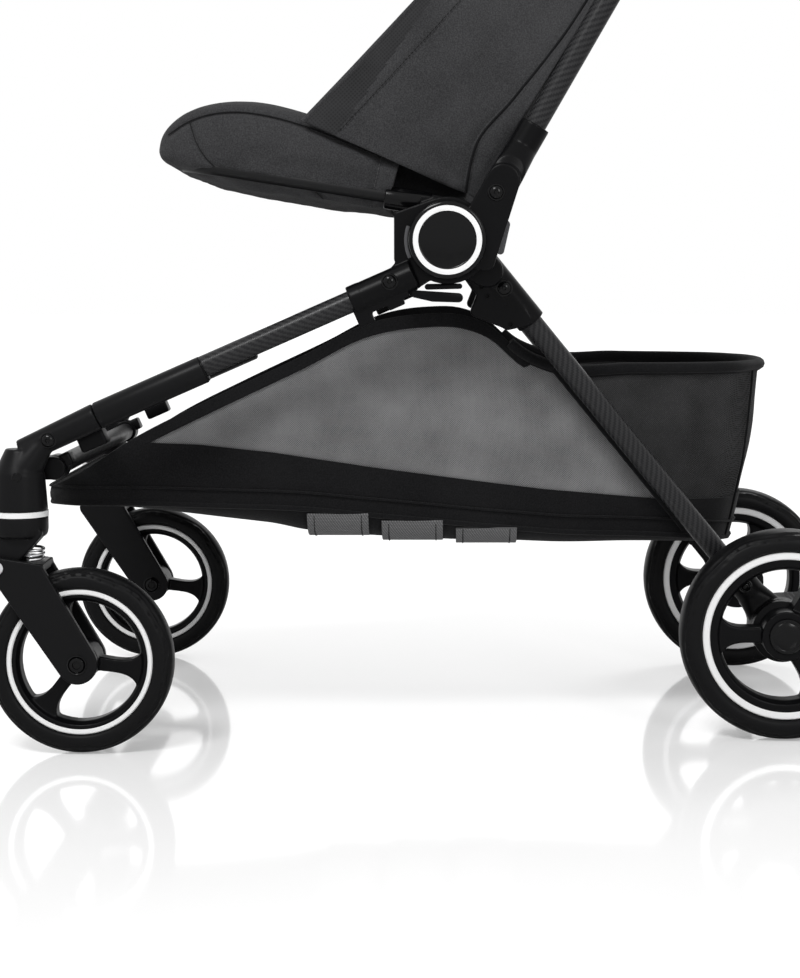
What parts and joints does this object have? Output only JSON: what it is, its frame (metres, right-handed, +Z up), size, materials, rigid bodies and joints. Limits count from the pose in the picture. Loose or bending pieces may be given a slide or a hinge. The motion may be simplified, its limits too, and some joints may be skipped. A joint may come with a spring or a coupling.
{
  "type": "stroller",
  "caption": "Compact folding stroller with hub-jointed frame, padded seat, reclining backrest, canopy, mesh basket, front casters and rear wheels.",
  "frame": {"origin": "centre of the bounding box, on the ground under the tyres", "axes": "+Z up, -Y the way the stroller faces, +X its left side"},
  "size_m": [0.4852, 0.802, 1.0474],
  "materials": {
    "carbon_tube": "woven carbon look, satin",
    "satin_plastic": "satin black moulding",
    "gloss_plastic": "gloss black",
    "steel": "brushed",
    "tube_metal": "black powder coat",
    "tyre": "matte foam rubber",
    "foam": "soft foam",
    "fabric": "charcoal woven cloth",
    "mesh": "grey mesh"
  },
  "bodies": {
    "root": {"hub_housing_left": "satin_plastic", "hub_housing_right": "satin_plastic", "front_leg_tube_left": "carbon_tube", "front_leg_tube_right": "carbon_tube", "knuckle_left": "satin_plastic", "knuckle_right": "satin_plastic", "hub_pivot_left": "steel", "hub_pivot_right": "steel", "front_crossbar": "satin_plastic", "seat_frame_tube": "tube_metal", "seat_pad": "fabric", "basket": "mesh"},
    "handle_frame": {"hub_cap_left": "gloss_plastic", "hub_cap_right": "gloss_plastic", "upper_socket_left": "satin_plastic", "upper_socket_right": "satin_plastic", "upper_tube_left": "carbon_tube", "upper_tube_right": "carbon_tube", "canopy_mount_left": "satin_plastic", "canopy_mount_right": "satin_plastic", "handle_bar": "carbon_tube", "handle_grip_left": "foam", "handle_grip_right": "foam", "fold_housing": "satin_plastic", "side_panel_left": "fabric", "side_panel_right": "fabric", "canopy_fabric": "fabric"},
    "rear_frame": {"rear_socket_left": "satin_plastic", "rear_socket_right": "satin_plastic", "rear_leg_tube_left": "carbon_tube", "rear_leg_tube_right": "carbon_tube", "rear_bracket_left": "satin_plastic", "rear_bracket_right": "satin_plastic", "rear_axle_bar": "tube_metal"},
    "backrest": {"backrest_board": "satin_plastic", "backrest_pad": "fabric", "buckle": "satin_plastic"},
    "canopy_rear": {"canopy_bow_rear": "satin_plastic"},
    "canopy_front": {"canopy_bow_front": "satin_plastic"},
    "fold_button": {"fold_button": "gloss_plastic"},
    "buckle_button": {"buckle_button": "gloss_plastic"},
    "brake_pedal": {"brake_pedal": "satin_plastic"},
    "brake_pin_left": {"brake_pin_left": "steel"},
    "brake_pin_right": {"brake_pin_right": "steel"},
    "rear_wheel_left": {"rear_tyre_left": "tyre", "rear_rim_left": "satin_plastic"},
    "rear_wheel_right": {"rear_tyre_right": "tyre", "rear_rim_right": "satin_plastic"},
    "swivel_left": {"swivel_cup_left": "satin_plastic", "spring_left": "steel"},
    "swivel_right": {"swivel_cup_right": "satin_plastic", "spring_right": "steel"},
    "fork_left": {"fork_left": "satin_plastic", "front_axle_left": "steel"},
    "fork_right": {"fork_right": "satin_plastic", "front_axle_right": "steel"},
    "front_wheel_left": {"front_tyre_left": "tyre", "front_rim_left": "satin_plastic"},
    "front_wheel_right": {"front_tyre_right": "tyre", "front_rim_right": "satin_plastic"}
  },
  "joints": [
    {"name": "fold", "type": "hinge", "parent": "root", "child": "handle_frame", "pos_m": [0, -0.02416, 0.42], "axis": [1, 0, 0], "range_deg": [0, 95], "deforming": ["seat_pad", "basket", "side_panel_left", "side_panel_right"]},
    {"name": "rear_fold", "type": "hinge", "parent": "root", "child": "rear_frame", "pos_m": [0, -0.02416, 0.42], "axis": [1, 0, 0], "range_deg": [-71.25, 0]},
    {"name": "recline", "type": "hinge", "parent": "handle_frame", "child": "backrest", "pos_m": [0, 0.00984, 0.47], "axis": [1, 0, 0], "range_deg": [-35, 0]},
    {"name": "canopy_open", "type": "hinge", "parent": "handle_frame", "child": "canopy_rear", "pos_m": [0, 0.20883, 0.79355], "axis": [1, 0, 0], "range_deg": [-45, 0], "deforming": ["canopy_fabric"]},
    {"name": "canopy_front_open", "type": "hinge", "parent": "canopy_rear", "child": "canopy_front", "pos_m": [0, 0.20883, 0.79355], "axis": [1, 0, 0], "range_deg": [-45, 0]},
    {"name": "fold_button_press", "type": "slide", "parent": "handle_frame", "child": "fold_button", "axis": [0, 0, -1], "range_m": [0, 0.003], "stiffness_N_per_m": 300, "springref_m": -0.002},
    {"name": "buckle_button_press", "type": "slide", "parent": "backrest", "child": "buckle_button", "axis": [0, 0.8572, -0.515], "range_m": [0, 0.003], "stiffness_N_per_m": 300, "springref_m": -0.002},
    {"name": "brake", "type": "hinge", "parent": "rear_frame", "child": "brake_pedal", "pos_m": [0, 0.26063, 0.089], "axis": [-1, 0, 0], "range_deg": [0, 20]},
    {"name": "brake_pin_left_slide", "type": "slide", "parent": "rear_frame", "child": "brake_pin_left", "axis": [1, 0, 0], "range_m": [0, 0.006]},
    {"name": "brake_pin_right_slide", "type": "slide", "parent": "rear_frame", "child": "brake_pin_right", "axis": [-1, 0, 0], "range_m": [0, 0.006]},
    {"name": "rear_wheel_left_spin", "type": "hinge", "parent": "rear_frame", "child": "rear_wheel_left", "pos_m": [0.164, 0.26063, 0.089], "axis": [1, 0, 0], "continuous": true},
    {"name": "rear_wheel_right_spin", "type": "hinge", "parent": "rear_frame", "child": "rear_wheel_right", "pos_m": [-0.164, 0.26063, 0.089], "axis": [1, 0, 0], "continuous": true},
    {"name": "swivel_left_turn", "type": "hinge", "parent": "root", "child": "swivel_left", "pos_m": [0.215, -0.37416, 0.2], "axis": [0, 0, 1], "continuous": true},
    {"name": "swivel_right_turn", "type": "hinge", "parent": "root", "child": "swivel_right", "pos_m": [-0.215, -0.37416, 0.2], "axis": [0, 0, -1], "continuous": true},
    {"name": "suspension_left", "type": "hinge", "parent": "swivel_left", "child": "fork_left", "pos_m": [0.215, -0.38856, 0.155], "axis": [1, 0, 0], "range_deg": [0, 6], "stiffness_Nm_per_rad": 25, "springref_deg": -9.17, "deforming": ["spring_left"]},
    {"name": "suspension_right", "type": "hinge", "parent": "swivel_right", "child": "fork_right", "pos_m": [-0.215, -0.38856, 0.155], "axis": [1, 0, 0], "range_deg": [0, 6], "stiffness_Nm_per_rad": 25, "springref_deg": -9.17, "deforming": ["spring_right"]},
    {"name": "front_wheel_left_spin", "type": "hinge", "parent": "fork_left", "child": "front_wheel_left", "pos_m": [0.215, -0.32476, 0.0762], "axis": [1, 0, 0], "continuous": true},
    {"name": "front_wheel_right_spin", "type": "hinge", "parent": "fork_right", "child": "front_wheel_right", "pos_m": [-0.215, -0.32476, 0.0762], "axis": [1, 0, 0], "continuous": true}
  ],
  "couplings": [
    {"joint": "rear_fold", "follows": "fold", "ratio": -0.75},
    {"joint": "canopy_front_open", "follows": "canopy_open", "ratio": 1},
    {"joint": "brake_pin_left_slide", "follows": "brake", "m_per_rad": 0.017188},
    {"joint": "brake_pin_right_slide", "follows": "brake", "m_per_rad": 0.017188}
  ]
}
